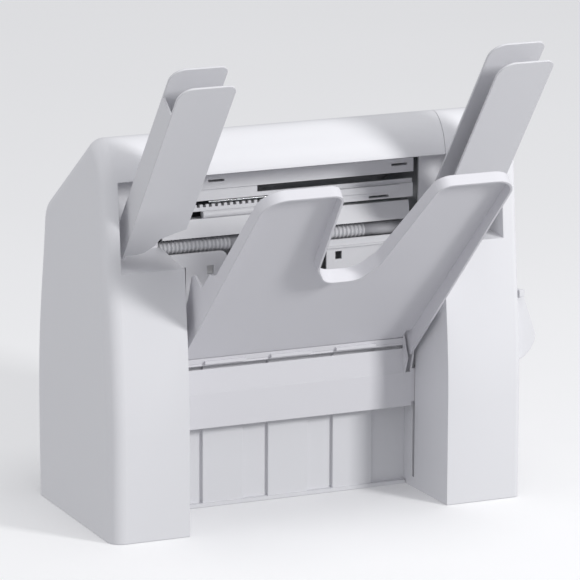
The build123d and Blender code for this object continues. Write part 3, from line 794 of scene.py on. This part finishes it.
@dataclass
class Controls(SubAssembly):
    """Plain raised marks on the keys and lit tiles on the screen."""

    lean: float = math.atan2(CONSOLE_RISE, CONSOLE_RUN)
    mark_height: float = 0.0003
    bar_pitch: float = 0.0022
    bar_length: float = 0.007
    bar_thickness: float = 0.0009
    arrow_radius: float = 0.0026
    stop_radius: float = 0.0034
    start_radius: float = 0.0046
    tile_height: float = 0.00015
    row_count: int = 3
    row_pitch: float = 0.0085
    top_row: Oblong = (-0.006, 0.011, 0.034, 0.004)
    side_tile: Oblong = (0.0205, 0.0025, 0.010, 0.021)

    def build(self) -> None:
        """Set one mark on each key and the tiles on the screen."""
        bars = [
            oblong(0, s * self.bar_pitch, self.bar_length, self.bar_thickness)
            for s in (-1, 0, 1)
        ]
        shapes = {
            "menu_key": bars,
            "back_key": [regular(0, 0, self.arrow_radius, 3, 180)],
            "up_key": [regular(0, 0, self.arrow_radius, 3, 90)],
            "down_key": [regular(0, 0, self.arrow_radius, 3, 270)],
            "stop_key": [regular(0, 0, self.stop_radius, 8, 22.5)],
            "start_key": [regular(0, 0, self.start_radius, 4, 0)],
        }
        for node, outlines in shapes.items():
            seat = self._top_of(node)
            places = [(seat, outline) for outline in outlines]
            mark = pads(node.replace("_key", "_mark"), places, self.mark_height)
            self.keep(mark, Surface.MARK, "casing", f"{node}_cap")
        seat = self._top_of("display")
        x, y, width, height = self.top_row
        tiles = [
            oblong(x, y - self.row_pitch * row, width, height) for row in range(self.row_count)
        ]
        tiles.append(oblong(*self.side_tile))
        screen = pads("screen_tiles", [(seat, tile) for tile in tiles], self.tile_height)
        self.keep(screen, Surface.LIT, "glass", "machine")

    def _top_of(self, node: str) -> Seat:
        """The seat in the middle of a node's upper face, square to the slope.

        Args:
            node: The node's name.

        Returns:
            The seat, with across to the operator's right and along up the slope.
        """
        along = np.array([0.0, -math.cos(self.lean), math.sin(self.lean)])
        out = np.array([0.0, math.sin(self.lean), math.cos(self.lean)])
        points = node_points(node)
        middle = (points.min(axis=0) + points.max(axis=0)) / 2
        origin = middle + ((points @ out).max() - middle @ out) * out
        return Seat(origin, np.array([-1.0, 0.0, 0.0]), along, out)


@dataclass
class RearRibs(SubAssembly):
    """Moulded ribs across the rear cover."""

    lowest: float = 0.150
    highest: float = 0.206
    count: int = 9
    centres: tuple[float, float] = (-0.085, 0.085)
    length: float = 0.13
    thickness: float = 0.0024
    height: float = 0.0009
    behind: float = 0.3

    def build(self) -> None:
        """Lay two banks of ribs on the cover's own curve."""
        seats = [self._seat(z) for z in np.linspace(self.lowest, self.highest, self.count)]
        outlines = [oblong(x, 0, self.length, self.thickness) for x in self.centres]
        bars = [(seat, outline) for seat in seats for outline in outlines]
        self.keep(pads("rear_ribs", bars, self.height), Surface.CASING, "casing", "machine")

    def _seat(self, height: float) -> Seat:
        """The seat on the cover's outer face at a height, found by a ray from behind.

        Args:
            height: The height above the table.

        Returns:
            The seat, with along up the cover and out square to it.
        """
        cover = frame["nodes"]["rear_cover"]
        start = Vector((0, self.behind, height))
        found, place, normal, _ = cover.ray_cast(start, Vector((0, -1, 0)))
        if not found:
            raise ValueError(f"the rear cover has no face at height {height}")
        out = np.array([0.0, normal.y, normal.z])
        along = np.array([0.0, -normal.z, normal.y])
        return Seat(np.array(place), np.array([-1.0, 0.0, 0.0]), along, out)


# ------------------------------------------------------------------ stage
@dataclass(frozen=True)
class SquareLamp:
    """A square area light: where it hangs, its side and its power in watts."""

    name: str
    place: Place
    side: float
    watts: float


@dataclass
class Studio:
    """A pale floor, soft light and the camera."""

    azimuth: float = -23.4
    elevation: float = 13.56
    roll: float = 0.23
    distance: float = 4.078
    target: Place = (-0.072, -0.097, 0.2247)
    aim_right: float = 0.03745
    lens: float = 281.2
    sensor: float = 36.0
    nearest: float = 0.1
    farthest: float = 50.0
    floor_reach: float = 6.0
    floor_drop: float = 0.0004
    floor_dark: Colour = (0.88, 0.88, 0.885)
    floor_light: Colour = (0.91, 0.91, 0.915)
    floor_clouds_per_metre: float = 1.5
    floor_roughness: float = 0.9
    floor_glow: float = 0.08
    world_colour: Colour = (0.95, 0.96, 1.0)
    world_strength: float = 0.45
    lamps: tuple[SquareLamp, ...] = (
        SquareLamp("key", (1.33, -2.05, 1.09), 0.42, 34.0),
        SquareLamp("fill", (-2.4, -0.2, 0.7), 1.4, 8.0),
    )
    lamps_aim: Place = (0, 0, 0.2)
    overhead_strength: float = 0.85
    overhead_spread: float = 0.6
    overhead_fall: Place = (0.0, 0.3, -1.0)

    def build(self) -> None:
        """Make the floor, the lights and the camera."""
        self._floor()
        self._lights()
        self._camera()

    def _floor(self) -> None:
        """A large plain floor, a hair under the machine."""
        reach, drop = self.floor_reach, self.floor_drop
        corners = oblong(0, 0, 2 * reach, 2 * reach)
        points = np.column_stack([corners, np.full(4, -drop)])
        floor = mesh_object("floor", points, np.array([[0, 1, 2, 3]]))
        recipe = Recipe("pale_floor")
        tone = recipe.noise(self.floor_clouds_per_metre)
        colour = recipe.between(self.floor_dark, self.floor_light, tone)
        fixed = {
            "Roughness": self.floor_roughness,
            "Emission Color": (1.0, 1.0, 1.0, 1.0),
            "Emission Strength": self.floor_glow,
        }
        floor.data.materials.append(recipe.finish(fixed, {"Base Color": colour}))
        floor.visible_diffuse = False

    def _lights(self) -> None:
        """A pale world, a key from the right, a fill from the left and soft light from above."""
        world = bpy.data.worlds.new("studio")
        world.use_nodes = True
        background = world.node_tree.nodes["Background"]
        background.inputs["Color"].default_value = (*self.world_colour, 1.0)
        background.inputs["Strength"].default_value = self.world_strength
        bpy.context.scene.world = world
        for lamp in self.lamps:
            self._square(lamp)
        self._overhead()

    def _overhead(self) -> None:
        """Even light from above and a little in front."""
        data = bpy.data.lights.new("overhead", "SUN")
        data.energy, data.angle = self.overhead_strength, self.overhead_spread
        self._hang(data, Vector((0.0, 0.0, 0.0)), Vector(self.overhead_fall))

    def _square(self, lamp: SquareLamp) -> None:
        """Hang one square lamp, pointed at the machine."""
        data = bpy.data.lights.new(lamp.name, "AREA")
        data.size, data.energy = lamp.side, lamp.watts
        place = Vector(lamp.place)
        self._hang(data, place, Vector(self.lamps_aim) - place)

    @staticmethod
    def _hang(data: bpy.types.Light, place: Vector, ahead: Vector) -> None:
        """Put a light into the scene.

        Args:
            data: The light.
            place: Where it hangs.
            ahead: The direction that it shines in.
        """
        made = bpy.data.objects.new(data.name, data)
        made.location = place
        made.rotation_mode = "QUATERNION"
        made.rotation_quaternion = ahead.to_track_quat("-Z", "Y")
        bpy.context.scene.collection.objects.link(made)

    def _camera(self) -> None:
        """A long lens, turned a little to the right of its target and rolled."""
        a, e = math.radians(self.azimuth), math.radians(self.elevation)
        level = math.cos(e)
        back = Vector((math.sin(a) * level, -math.cos(a) * level, math.sin(e)))
        target = Vector(self.target)
        place = target + back * self.distance
        right = (-back).cross(Vector((0, 0, 1))).normalized()
        ahead = (target + right * self.aim_right - place).normalized()
        side = ahead.cross(Vector((0, 0, 1))).normalized()
        up = side.cross(ahead)
        turn = math.radians(self.roll)
        x_axis = side * math.cos(turn) + up * math.sin(turn)
        y_axis = up * math.cos(turn) - side * math.sin(turn)
        data = bpy.data.cameras.new("camera")
        data.lens, data.sensor_width = self.lens, self.sensor
        data.clip_start, data.clip_end = self.nearest, self.farthest
        camera = bpy.data.objects.new("camera", data)
        axes = Matrix((x_axis, y_axis, -ahead)).transposed()
        camera.matrix_world = Matrix.Translation(place) @ axes.to_4x4()
        bpy.context.scene.collection.objects.link(camera)
        bpy.context.scene.camera = camera
        bpy.context.scene.view_settings.view_transform = "Standard"


def main() -> None:
    """Build every sub-assembly in order."""
    logging.basicConfig(level=logging.INFO, format="%(message)s")
    paints = Paintbox()
    for kind in (PackedNodes, DeliveryRollers, Controls, RearRibs):
        kind(paints).build()
    Studio().build()


if __name__ == "__main__":
    main()
